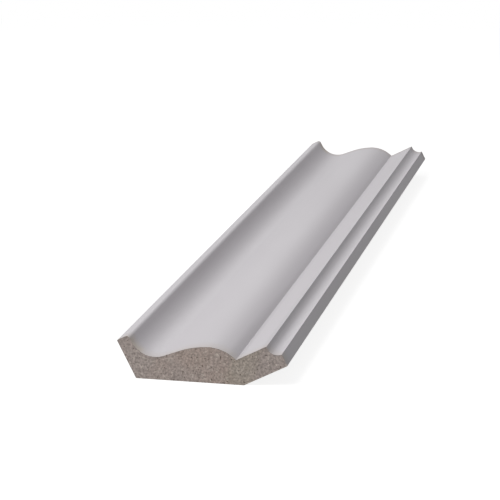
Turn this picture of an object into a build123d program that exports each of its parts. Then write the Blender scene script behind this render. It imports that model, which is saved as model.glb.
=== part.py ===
from build123d import *
from math import acos, atan2, cos, degrees, radians, sin
import os

# Ceiling coving: one length of ogee moulding, run from one strip of fibreboard and cut square at both ends.
# It is stored as it lies on a floor, on its flat back: the length along Y, centred, with the ceiling side at -X,
# the wall side at +X and the moulded face up.
# The section is drawn as it is fixed: the wall is the line x = 0, the ceiling the line y = 0, and the room is
# at +x and -y. Sizes in millimetres, angles in degrees.

# Overall sizes
length = 600.0  # from one square-cut end to the other
drop = 76.2  # how far it comes down the wall
projection = 48.6  # how far it comes out along the ceiling

# Faces on the building, and the corner between them that the flat back takes off
ceiling_face = 22.3  # width bedded against the ceiling
wall_face = 25.5  # height bedded against the wall

# Lip: the square nosing under the ceiling, and its shelf above the cove
lip_height = 6.9
lip_shelf = 3.9  # from the face of the lip back to where the cove starts
lip_radius = 2.0  # rounded lower corner of the lip

# Ogee: a cove that runs straight for a little, crowns over slowly and rolls down to the quirk.
# Slopes are measured from the line of the wall.
cove_radius = 13.75
run_slope = 6.3  # slope of the straight run below the cove
run_length = 8.3
crown_radius = 47.5  # slow part of the swelling
crown_slope = 24.3  # slope where the slow part gives way to the nose
nose_radius = 21.2

# Fascia: the flat band below the quirk, which stands off the wall
fascia_projection = 13.7

# Toe: a small step in from the fascia, and a small cove down to the underside
toe_height = 5.45  # from the lower edge of the fascia to the underside
toe_step = 1.2
toe_radius = 5.8

arris = 0.3  # easing of the square corners

# The cut-off corner, and the plane of the section turned so that the flat back lies on the floor
corner_width = projection - ceiling_face
corner_height = drop - wall_face
back_angle = atan2(corner_width, corner_height)
across_off_wall = -sin(back_angle)
across_down_wall = cos(back_angle)

# The two corners that reach furthest to either side, where their eased arrises do
ceiling_corner = (
    (projection - arris) * across_off_wall + arris * across_down_wall - arris
)
wall_corner = arris * across_off_wall + (drop - arris) * across_down_wall + arris

section_plane = Plane(
    origin=(
        -(ceiling_corner + wall_corner) / 2,
        0,
        -corner_width * cos(back_angle),
    ),
    x_dir=(-sin(back_angle), 0, cos(back_angle)),
    z_dir=(0, -1, 0),
)

with BuildPart() as coving:
    with BuildSketch(section_plane) as section:
        with BuildLine() as outline:
            cove = JernArc(
                start=(projection - lip_shelf, -lip_height),
                tangent=(-1, 0),
                radius=cove_radius,
                arc_size=90 - run_slope,
            )
            run = PolarLine(cove @ 1, run_length, direction=cove % 1)
            crown = JernArc(
                run @ 1, run % 1, crown_radius, arc_size=run_slope - crown_slope
            )

            # The nose rolls over until it meets the plane of the fascia
            nose_centre = (crown @ 1).X - nose_radius * cos(radians(crown_slope))
            quirk_slope = degrees(acos((fascia_projection - nose_centre) / nose_radius))
            nose = JernArc(
                crown @ 1, crown % 1, nose_radius, arc_size=crown_slope - quirk_slope
            )

            toe_top = toe_height - drop
            fascia = FilletPolyline(
                nose @ 1,
                (fascia_projection, toe_top),
                (fascia_projection - toe_step, toe_top),
                radius=[arris],
            )
            toe_cove = JernArc(
                fascia @ 1,
                tangent=(-1, 0),
                radius=toe_radius,
                arc_size=degrees(acos(1 - toe_height / toe_radius)),
            )

            # Underside, wall face, flat back, ceiling face and lip
            FilletPolyline(
                toe_cove @ 1,
                (0, -drop),
                (0, -corner_height),
                (corner_width, 0),
                (projection, 0),
                (projection, -lip_height),
                cove @ 0,
                radius=[arris, arris, arris, arris, lip_radius],
            )
        make_face()
    extrude(amount=length / 2, both=True)

coving.part.label = "coving"

os.makedirs("parts", exist_ok=True)
export_step(coving.part, "parts/coving.step")

box = coving.part.bounding_box()
print("across", round(box.min.X, 3), round(box.max.X, 3))
print("along", round(box.min.Y, 3), round(box.max.Y, 3))
print("up", round(box.min.Z, 3), round(box.max.Z, 3))
print("volume in cubic centimetres", round(coving.part.volume / 1000, 2))
print("quirk below the ceiling", round(-(nose @ 1).Y, 2))
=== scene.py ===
import math

import bmesh
import bpy
from mathutils import Matrix, Vector, noise


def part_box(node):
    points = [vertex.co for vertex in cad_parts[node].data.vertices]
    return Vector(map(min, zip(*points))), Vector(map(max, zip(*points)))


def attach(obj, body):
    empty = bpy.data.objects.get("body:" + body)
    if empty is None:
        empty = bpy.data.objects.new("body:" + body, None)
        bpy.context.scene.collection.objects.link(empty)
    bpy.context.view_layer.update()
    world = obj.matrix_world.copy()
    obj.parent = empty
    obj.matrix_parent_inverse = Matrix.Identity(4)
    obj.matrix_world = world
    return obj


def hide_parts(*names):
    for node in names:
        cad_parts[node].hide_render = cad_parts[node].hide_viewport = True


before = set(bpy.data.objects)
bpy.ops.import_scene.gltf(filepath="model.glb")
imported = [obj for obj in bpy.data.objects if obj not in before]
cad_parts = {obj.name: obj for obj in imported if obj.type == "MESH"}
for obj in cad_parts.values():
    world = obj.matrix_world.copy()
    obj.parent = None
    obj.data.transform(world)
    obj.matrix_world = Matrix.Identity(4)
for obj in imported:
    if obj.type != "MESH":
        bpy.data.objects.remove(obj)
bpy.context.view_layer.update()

# Coving
# One length of ogee moulding, run with one cutter along a strip of fibreboard, primed on the faces that show
# and then sawn square at both ends. The outline is walked as the moulding is fixed, with x off the wall, z up
# and the corner of the room at the origin; the length is then laid on its flat back, as it is stored.
MM = 0.001

drop = 76.2 * MM
projection = 48.6 * MM
ceiling_face = 22.3 * MM
wall_face = 25.5 * MM
lip_height = 6.9 * MM
lip_shelf = 3.9 * MM
lip_radius = 2.0 * MM
cove_radius = 13.75 * MM
run_slope = math.radians(6.3)
run_length = 8.3 * MM
crown_radius = 47.5 * MM
crown_slope = math.radians(24.3)
nose_radius = 21.2 * MM
fascia_projection = 13.7 * MM
toe_height = 5.45 * MM
toe_step = 1.2 * MM
toe_radius = 5.8 * MM
arris = 0.3 * MM
corner_width = projection - ceiling_face
corner_height = drop - wall_face
back_angle = math.atan2(corner_width, corner_height)

coving_low, coving_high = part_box("coving")
length = coving_high.y - coving_low.y
moulding = bmesh.new()
edge_reach = moulding.verts.layers.float.new("edge_reach")


def vertices(geometry):
    return [part for part in geometry if isinstance(part, bmesh.types.BMVert)]


class Outline:
    """The outline of the moulding, walked corner by corner round its section."""

    def __init__(self, mesh, start, heading):
        self.mesh = mesh
        self.heading = Vector(heading)
        self.corner = bmesh.ops.create_vert(mesh, co=start)["vert"][0]

    def to(self, x, z):
        """Goes straight to the corner that is x off the wall and z above the ceiling line."""
        corner = bmesh.ops.extrude_vert_indiv(self.mesh, verts=[self.corner])["verts"][0]
        step = Vector((x, 0, z)) - self.corner.co
        bmesh.ops.translate(self.mesh, verts=[corner], vec=step)
        self.heading = step.normalized()
        self.corner = corner
        return corner

    def straight(self, distance):
        """Goes straight on."""
        place = self.corner.co + distance * self.heading
        return self.to(place.x, place.z)

    def turn(self, radius, angle, steps):
        """Goes on round an arc, turning about +Y as the sign of the angle says."""
        quarter = math.copysign(math.pi / 2, angle)
        inwards = Matrix.Rotation(quarter, 3, "Y") @ self.heading
        swept = bmesh.ops.spin(
            self.mesh,
            geom=[self.corner],
            cent=self.corner.co + radius * inwards,
            axis=(0, 1, 0),
            angle=angle,
            steps=steps,
        )
        self.corner = vertices(swept["geom_last"])[0]
        self.heading = Matrix.Rotation(angle, 3, "Y") @ self.heading
        return self.corner


# Cove, straight run, crown and nose, down to the quirk where the nose meets the fascia
outline = Outline(moulding, (projection - lip_shelf, 0, -lip_height), (-1, 0, 0))
cove_start = outline.corner
outline.turn(cove_radius, run_slope - math.pi / 2, 28)
outline.straight(run_length)
outline.turn(crown_radius, crown_slope - run_slope, 10)
nose_centre = outline.corner.co.x - nose_radius * math.cos(crown_slope)
quirk_slope = math.acos((fascia_projection - nose_centre) / nose_radius)
quirk = outline.turn(nose_radius, quirk_slope - crown_slope, 24)
quirk_place = quirk.co.copy()

# Fascia, step and toe cove, then the underside, the wall face, the flat back, the ceiling face and the lip
toe_top = toe_height - drop
arrises = [outline.to(fascia_projection, toe_top)]
step_root = outline.to(fascia_projection - toe_step, toe_top).co.copy()
outline.turn(toe_radius, -math.acos(1 - toe_height / toe_radius), 16)
arrises += [
    outline.to(0, -drop),
    outline.to(0, -corner_height),
    outline.to(corner_width, 0),
    outline.to(projection, 0),
]
lip_corner = outline.to(projection, -lip_height)
outline.to(cove_start.co.x, cove_start.co.z)
same_place = 0.001 * MM
bmesh.ops.remove_doubles(moulding, verts=moulding.verts[:], dist=same_place)

# The section is filled and run out to its length
section = bmesh.ops.contextual_create(moulding, geom=moulding.edges[:])["faces"]
far_end = vertices(bmesh.ops.extrude_face_region(moulding, geom=section)["geom"])
bmesh.ops.translate(moulding, verts=far_end, vec=(0, length, 0))


def ease(corners, radius, segments):
    """Rounds the long edges that run from these corners of the section."""
    long_edges = {
        edge
        for corner in corners
        for edge in corner.link_edges
        if edge.calc_length() > length / 2
    }
    bmesh.ops.bevel(
        moulding,
        geom=list(long_edges),
        offset=radius,
        offset_type="OFFSET",
        affect="EDGES",
        segments=segments,
        profile=0.5,
        material=-1,
    )


# The cutter eases the square corners, and the primer fills the bottom of the quirk a little
primer_fillet = 0.25 * MM
ease(arrises, arris, 5)
ease([lip_corner], lip_radius, 8)
ease([quirk], primer_fillet, 4)

# It is laid on its flat back, with the length and the width centred as the frame has them
laid_turn = -math.pi / 2 - back_angle
bmesh.ops.rotate(
    moulding,
    verts=moulding.verts[:],
    cent=(0, 0, 0),
    matrix=Matrix.Rotation(laid_turn, 3, "Y"),
)
lowest = Vector([min(vert.co[axis] for vert in moulding.verts) for axis in range(3)])
highest = Vector([max(vert.co[axis] for vert in moulding.verts) for axis in range(3)])
laid_shift = Vector((-(lowest.x + highest.x) / 2, -length / 2, -lowest.z))
bmesh.ops.translate(moulding, verts=moulding.verts[:], vec=laid_shift)
bmesh.ops.recalc_face_normals(moulding, faces=moulding.faces[:])

# Primer on the faces that show, planed fibre on the three faces to the building, sawn fibre on the ends
PRIMED, PLANED, SAWN = range(3)
for face in moulding.faces:
    if abs(face.normal.y) > 0.5:
        face.material_index = SAWN
    elif face.normal.z < -0.1:
        face.material_index = PLANED
    else:
        face.material_index = PRIMED

# The saw leaves the coat of primer standing as a thin rim, and tears the fibre inside it a little below
coat = 0.09 * MM
grid = 0.4 * MM
torn_cell = 0.95 * MM
torn_depth = 0.10 * MM
torn_evenly = 0.55
torn_in_patches = 0.9
torn_most = 1.6
for outwards in (-1, 1):
    end = [face for face in moulding.faces if face.normal.y * outwards > 0.5]
    inset = bmesh.ops.inset_region(moulding, faces=end, thickness=coat, use_even_offset=True)
    rim = inset["faces"]
    for face in rim:
        beside = {side.material_index for edge in face.edges for side in edge.link_faces}
        if PRIMED in beside:
            face.material_index = PRIMED
    fibre = set(end)
    for face in end:
        fibre.update(face.edges, face.verts)
    fibre = list(fibre)
    for across in (Vector((1, 0, 0)), Vector((0, 0, 1))):
        low, high = across.dot(coving_low), across.dot(coving_high)
        cuts = round((high - low) / grid)
        for cut in range(1, cuts):
            fibre = bmesh.ops.bisect_plane(
                moulding,
                geom=fibre,
                plane_co=across * (low + (high - low) * cut / cuts),
                plane_no=across,
            )["geom"]
    round_it = {vert for face in rim for vert in face.verts}
    for vert in vertices(fibre):
        if vert in round_it:
            vert[edge_reach] = 1.0
        else:
            torn = torn_evenly + torn_in_patches * noise.fractal(vert.co / torn_cell, 1.0, 2.0, 3)
            vert.co.y -= outwards * torn_depth * min(max(torn, 0.0), torn_most)

# Only the corners that the cutter and the saw leave look sharp
sharp_from = math.radians(30)
for face in moulding.faces:
    face.smooth = True
for edge in moulding.edges:
    edge.smooth = edge.calc_face_angle(0) < sharp_from

mesh = bpy.data.meshes.new("ogee_coving")
moulding.to_mesh(mesh)
moulding.free()
coving = bpy.data.objects.new("ogee_coving", mesh)
bpy.context.scene.collection.objects.link(coving)
evened = coving.modifiers.new("flats_stay_flat", "WEIGHTED_NORMAL")
evened.keep_sharp = True


class Reading:
    """A value that varies over a finish, to reckon with as with a number."""

    def __init__(self, finish, socket):
        self.finish = finish
        self.socket = socket

    def reckon(self, operation, first, second=0.0):
        return self.finish.node(
            "ShaderNodeMath", {"operation": operation}, {0: first, 1: second}
        )

    def __add__(self, other):
        return self.reckon("ADD", self, other)

    def __sub__(self, other):
        return self.reckon("SUBTRACT", self, other)

    def __rsub__(self, other):
        return self.reckon("SUBTRACT", other, self)

    def __mul__(self, other):
        return self.reckon("MULTIPLY", self, other)

    def __abs__(self):
        return self.reckon("ABSOLUTE", self)

    def or_more(self, other):
        """The greater of the two."""
        return self.reckon("MAXIMUM", self, other)

    __radd__ = __add__
    __rmul__ = __mul__


class Finish:
    """The nodes of one finish, or of the light around the piece, in their own coordinates."""

    def __init__(self, owner):
        owner.use_nodes = True
        self.owner = owner
        self.tree = owner.node_tree
        self.place = self.node("ShaderNodeTexCoord", output="Object")

    def join(self, node, sockets):
        """Sets the sockets of a node, or of one that the tree starts with, to values or to links."""
        if isinstance(node, str):
            node = self.tree.nodes[node]
        for socket, value in sockets.items():
            if isinstance(value, Reading):
                self.tree.links.new(value.socket, node.inputs[socket])
            else:
                node.inputs[socket].default_value = value

    def node(self, kind, settings=None, sockets=None, output=0):
        """Adds a node of this kind and gives one of its outputs."""
        node = self.tree.nodes.new(kind)
        for setting, value in (settings or {}).items():
            setattr(node, setting, value)
        self.join(node, sockets or {})
        return Reading(self, node.outputs[output])

    def noise(self, cell, detail=2.0, place=None, roughness=0.5):
        """Soft patches about as large as the cell, from 0 to 1."""
        return self.node(
            "ShaderNodeTexNoise",
            sockets={
                "Vector": place or self.place,
                "Scale": 1 / cell,
                "Detail": detail,
                "Roughness": roughness,
            },
        )

    def drawn_out(self, x=1.0, y=1.0, z=1.0):
        """The coordinates for a pattern that is this many times longer each way."""
        return self.node(
            "ShaderNodeMapping", sockets={"Vector": self.place, "Scale": (1 / x, 1 / y, 1 / z)}
        )

    def along(self, axis, place=None):
        """The coordinate along X, Y or Z."""
        return self.node("ShaderNodeSeparateXYZ", sockets={0: place or self.place}, output=axis)

    def as_fixed(self):
        """The coordinates of the moulding as it is fixed, with x off the wall and z up to the ceiling."""
        return self.node(
            "ShaderNodeMapping",
            {"vector_type": "TEXTURE"},
            {"Vector": self.place, "Location": laid_shift, "Rotation": (0, laid_turn, 0)},
        )

    def between(self, value, start, full):
        """0 up to the start, 1 past the full value and a smooth climb between; either may be the higher."""
        return self.node(
            "ShaderNodeMapRange",
            {"interpolation_type": "SMOOTHSTEP"},
            {"Value": value, "From Min": start, "From Max": full},
        )

    def strands(self, cell, width):
        """Thin winding strands, 1 along each, that come and go over a few of these cells."""
        winding = self.between(abs(self.noise(cell, 1.0) - 0.5), width, 0.3 * width)
        return winding * self.between(self.noise(1.7 * cell, 0.0), 0.48, 0.56)

    def mix(self, share, first, second, way="MIX"):
        """The first colour with this share of the second one."""
        return self.node(
            "ShaderNodeMix",
            {"data_type": "RGBA", "blend_type": way},
            {0: share, 6: first, 7: second},
            output=2,
        )

    def bump(self, height, rise):
        """The normal of a relief that is this high where its height is 1."""
        return self.node("ShaderNodeBump", sockets={"Height": height, "Distance": rise})


def new_finish(name):
    return Finish(bpy.data.materials.new(name))


def shade(red, green, blue):
    """A colour as a screen shows it, 0 to 255, as the colour of a finish."""
    levels = [level / 255 for level in (red, green, blue)]
    linear = [
        level / 12.92 if level <= 0.04045 else ((level + 0.055) / 1.055) ** 2.4
        for level in levels
    ]
    return (*linear, 1.0)


PRIMER_GREY = shade(207, 203, 207)
FIBRE_DUST = shade(214, 203, 190)
BARE_FIBRE = shade(185, 172, 163)

# Primer: a thin matt coat, levelled along the run by the coater, with a little fibre nap below it. Shade is
# painted into the quirk along the length, and deeper into the quirk and the step on the front third. The saw
# has left fibre dust on the last few millimetres, most of it on the steep wall of the cove, and has chipped
# the coat here and there at the cut.
primer = new_finish("matt_primer")
streaks = primer.noise(0.9 * MM, 3.0, primer.drawn_out(y=60.0))
clouds = primer.noise(26 * MM, 2.0, primer.drawn_out(y=3.0))
nap = primer.noise(0.35 * MM, 2.0)
nibs = primer.between(primer.noise(1.6 * MM, 0.0), 0.80, 0.86)
primer_tone = 0.975 + 0.020 * streaks + 0.022 * clouds + 0.008 * nap

off_wall = primer.along("X", primer.as_fixed())
below_ceiling = primer.along("Z", primer.as_fixed())
across = primer.node("ShaderNodeCombineXYZ", sockets={"X": off_wall, "Z": below_ceiling})
# Painted shade: the primer is darkened round the quirk and the root of the step, where shade falls, deeper on
# the front third and reaching further up the nose there
from_quirk, from_step = [
    primer.node("ShaderNodeVectorMath", {"operation": "DISTANCE"}, {0: across, 1: corner}, "Value")
    for corner in (quirk_place, step_root)
]
shaded_front_third = primer.between(primer.along("Y"), -0.15 * length, -0.48 * length)
shaded_nose_flank = primer.between(off_wall, fascia_projection, fascia_projection + 1 * MM)
shade_spread = 2.5 * MM * shaded_front_third * shaded_nose_flank
quirk_painted_shade = primer.between(from_quirk - shade_spread, 4.5 * MM, 0.0)
step_painted_shade = primer.between(from_step, 4.4 * MM, 2.2 * MM)
# The painted shade in the quirk and the step darkens the primer's tone here
primer_tone = primer_tone - (0.05 + 0.09 * shaded_front_third) * quirk_painted_shade - 0.09 * shaded_front_third * step_painted_shade
primer_colour = primer.mix(1.0, PRIMER_GREY, primer_tone, "MULTIPLY")

from_cut = length / 2 - abs(primer.along("Y"))
dust_reach = 15 * MM
dust_fringe = 5 * MM
dusty = primer.between(from_cut + dust_fringe * primer.noise(3.5 * MM, 3.0), dust_reach, 1 * MM)
cove_wall = 42 * MM
on_cove_wall = primer.between(abs(off_wall - cove_wall), 6 * MM, 3 * MM)
primer_colour = primer.mix((0.3 + 0.5 * on_cove_wall) * dusty, primer_colour, FIBRE_DUST)
chip_reach = 0.8 * MM * primer.between(primer.noise(1.7 * MM, 1.0), 0.55, 0.72)
chipped = primer.between(from_cut - chip_reach, 0.0, -0.08 * MM)
primer_colour = primer.mix(chipped, primer_colour, BARE_FIBRE)
primer.join(
    "Principled BSDF",
    {
        "Base Color": primer_colour,
        "Roughness": 0.50 + 0.12 * clouds + 0.06 * nap + 0.2 * dusty,
        "Specular IOR Level": 0.3,
        "Normal": primer.bump(streaks * 0.5 + nap * 0.3 + nibs - 3.0 * chipped, 0.012 * MM),
    },
)

# Sawn fibre: a grey-brown felt with pale strands and flecks and dark specks of wood, greyer under the lip,
# warmer below the crown and greener beside the quirk. The pressed skins of the board are a little darker, and
# so is a thin band round the edge of the sawn face.
sawn = new_finish("sawn_fibreboard")
speckle = sawn.noise(1.15 * MM, 2.0)
grain = sawn.noise(0.42 * MM, 2.0)
clumps = sawn.noise(3.2 * MM, 1.0)
crown_middle = 4 * MM
quirk_middle = 23 * MM
below_crown = sawn.between(abs(sawn.along("X") - crown_middle), 20 * MM, 6 * MM)
beside_quirk = sawn.between(abs(sawn.along("X") - quirk_middle), 12 * MM, 4 * MM)
warm = sawn.between(0.5 * sawn.noise(21 * MM, 1.0) + 0.22 * below_crown, 0.28, 0.46)
green = sawn.between(0.5 * sawn.noise(17 * MM, 1.0) + 0.22 * beside_quirk, 0.30, 0.46)
specks = sawn.between(sawn.noise(0.95 * MM, 0.0), 0.71, 0.78)
flecks = sawn.between(sawn.noise(1.3 * MM, 0.0, sawn.drawn_out(x=1.4)), 0.68, 0.80)
saw_marks = sawn.noise(0.7 * MM, 1.0, sawn.drawn_out(z=14.0))
height = sawn.along("Z")
board = coving_high.z
skin = 1.3 * MM
skin_core = 0.3 * MM
lower_skin = sawn.between(height, skin, skin_core)
upper_skin = sawn.between(height, board - skin, board - skin_core)
pressed = lower_skin + upper_skin
# A thin band round the edge of the sawn face is made a little darker
darker_rim = sawn.node("ShaderNodeAttribute", {"attribute_name": "edge_reach"}, output="Fac")
felt = sawn.mix(warm, shade(188, 175, 169), shade(192, 175, 166))
felt = sawn.mix(0.6 * green, felt, shade(189, 178, 164))
felt = sawn.mix(0.85 * specks, felt, shade(108, 94, 85))
felt = sawn.mix(0.55 * flecks, felt, shade(228, 217, 205))
felt = sawn.mix(0.26 * sawn.strands(2.4 * MM, 0.05), felt, shade(228, 218, 208))
felt_tone = 1.48 * speckle + 0.13 * clumps + 0.42 * grain + 0.05 * saw_marks
felt_tone = felt_tone - 0.08 * pressed - 0.08 * darker_rim
sawn.join(
    "Principled BSDF",
    {
        "Base Color": sawn.mix(1.0, felt, felt_tone, "MULTIPLY"),
        "Roughness": 0.82 + 0.12 * speckle,
        "Specular IOR Level": 0.25,
        "Normal": sawn.bump(speckle + 0.7 * grain + 0.3 * saw_marks, 0.06 * MM),
    },
)

# Planed fibre: the smooth brown of a board's pressed and planed faces, with fine strands in it, the drag and
# the chatter of the knives along it and a mist of primer that has drifted past the front arrises
planed = new_finish("planed_fibreboard")
fibre_grain = planed.noise(0.30 * MM, 2.0, planed.drawn_out(y=2.5))
knife_drag = planed.noise(1.1 * MM, 2.0, planed.drawn_out(y=90.0))
chatter = planed.noise(0.9 * MM, 0.0, planed.drawn_out(x=70.0, z=70.0))
broad = planed.noise(34 * MM, 2.0, planed.drawn_out(y=2.0))
handled = planed.between(planed.noise(48 * MM, 3.0), 0.55, 0.72)
past_lip = planed.along("X", planed.as_fixed()) - projection
past_underside = -drop - planed.along("Z", planed.as_fixed())
past_front = past_lip.or_more(past_underside)
drift = planed.noise(2.3 * MM, 3.0, planed.drawn_out(y=2.0))
mist_fringe = 5 * MM
mist = planed.between(past_front + mist_fringe * (drift - 0.5), -4.5 * MM, -0.4 * MM)
mist = mist * planed.between(planed.noise(0.30 * MM, 1.0) + 0.35 * mist, 0.38, 0.62)
dark_strands = planed.strands(2.8 * MM, 0.035)
pale_strands = planed.strands(2.1 * MM, 0.030)
planed_colour = planed.mix(
    planed.between(broad, 0.3, 0.7), shade(192, 175, 158), shade(184, 170, 158)
)
planed_colour = planed.mix(0.35 * dark_strands, planed_colour, shade(148, 128, 110))
planed_colour = planed.mix(0.30 * pale_strands, planed_colour, shade(216, 204, 190))
planed_colour = planed.mix(0.25 * handled, planed_colour, shade(166, 152, 139))
planed_tone = 0.86 + 0.14 * fibre_grain + 0.07 * knife_drag + 0.05 * chatter
planed_colour = planed.mix(1.0, planed_colour, planed_tone, "MULTIPLY")
planed.join(
    "Principled BSDF",
    {
        "Base Color": planed.mix(0.9 * mist, planed_colour, PRIMER_GREY),
        "Roughness": 0.62 + 0.16 * fibre_grain + 0.08 * handled,
        "Specular IOR Level": 0.3,
        "Normal": planed.bump(0.4 * fibre_grain + 0.5 * knife_drag + chatter, 0.02 * MM),
    },
)

for finish in (primer, planed, sawn):
    mesh.materials.append(finish.owner)

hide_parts("coving")
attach(coving, "root")

# Studio
# A plain pale floor that the coving lies on. What the camera and reflections see of it is lit to white away
# from the coving, with the soft shadow kept around it; the coving itself is lit by a plainer, greyer floor.
floor_size = 8.0
floor_mesh = bpy.data.meshes.new("floor")
ground = bmesh.new()
bmesh.ops.create_grid(ground, x_segments=1, y_segments=1, size=floor_size)
ground.to_mesh(floor_mesh)
ground.free()
floor = bpy.data.objects.new("floor", floor_mesh)
bpy.context.scene.collection.objects.link(floor)

WHITE = (1.0, 1.0, 1.0, 1.0)


def seen(finish):
    """1 for what the camera sees itself or in a gloss or a glass, 0 for what lights the coving."""
    light_path = [
        finish.node("ShaderNodeLightPath", output=kind)
        for kind in ("Is Camera Ray", "Is Glossy Ray", "Is Transmission Ray")
    ]
    return finish.between(light_path[0] + light_path[1] + light_path[2], 0.0, 1.0)


pale = new_finish("pale_floor")
lighting_floor = pale.node("ShaderNodeBsdfDiffuse", sockets={"Color": (0.2, 0.2, 0.2, 1.0)})
white_floor = pale.node("ShaderNodeEmission", sockets={"Color": WHITE, "Strength": 1.0})
glow = pale.node("ShaderNodeEmission", sockets={"Color": WHITE, "Strength": 0.86})
paint = pale.node("ShaderNodeBsdfDiffuse", sockets={"Color": (0.36, 0.36, 0.36, 1.0)})
shadowed_floor = pale.node("ShaderNodeAddShader", sockets={0: glow, 1: paint})
shadow_from = 0.45
shadow_to = 1.3
distance = pale.node("ShaderNodeVectorMath", {"operation": "LENGTH"}, {0: pale.place}, "Value")
away = pale.between(distance, shadow_from, shadow_to)
seen_floor = pale.node(
    "ShaderNodeMixShader", sockets={0: away, 1: shadowed_floor, 2: white_floor}
)
floor_surface = pale.node(
    "ShaderNodeMixShader", sockets={0: seen(pale), 1: lighting_floor, 2: seen_floor}
)
pale.join("Material Output", {"Surface": floor_surface})
pale.owner.cycles.emission_sampling = "NONE"
floor_mesh.materials.append(pale.owner)

# Camera at the photograph's viewing angle
camera_data = bpy.data.cameras.new("camera")
camera_data.sensor_width = 36.0
camera_data.lens = 152.3
camera = bpy.data.objects.new("camera", camera_data)
camera.location = (0.227715, -1.323703, 0.311060)
camera.rotation_euler = [math.radians(angle) for angle in (77.0731, -0.5909, 11.3456)]
bpy.context.scene.collection.objects.link(camera)
bpy.context.scene.camera = camera

# Lamps
middle = Vector((0, 0, 0.01))
lamp_distance = 1.6
lamp_diameter = 0.9


def lamp(name, tilt, swing, watts):
    """A round soft lamp tilted from overhead, to the left and swung from there towards the camera."""
    light = bpy.data.lights.new(name, "AREA")
    light.shape = "DISK"
    light.size = lamp_diameter
    light.energy = watts
    swung = Matrix.Rotation(math.radians(swing), 4, "Z")
    tilted = Matrix.Rotation(-math.radians(tilt), 4, "Y")
    lifted = Matrix.Translation((0, 0, lamp_distance))
    holder = bpy.data.objects.new(name, light)
    holder.matrix_world = Matrix.Translation(middle) @ swung @ tilted @ lifted
    bpy.context.scene.collection.objects.link(holder)


lamp("key_lamp", 45, 60, 13.6)
lamp("back_lamp", 60, 285, 4.2)

world = bpy.data.worlds.new("studio")
bpy.context.scene.world = world
studio = Finish(world)
soft_light = studio.node("ShaderNodeBackground", sockets={"Color": WHITE, "Strength": 0.263})
white_wall = studio.node("ShaderNodeBackground", sockets={"Color": WHITE, "Strength": 1.0})
around = studio.node(
    "ShaderNodeMixShader", sockets={0: seen(studio), 1: soft_light, 2: white_wall}
)
studio.join("World Output", {"Surface": around})
world.cycles.sampling_method = "NONE"

bpy.context.scene.view_settings.view_transform = "Standard"
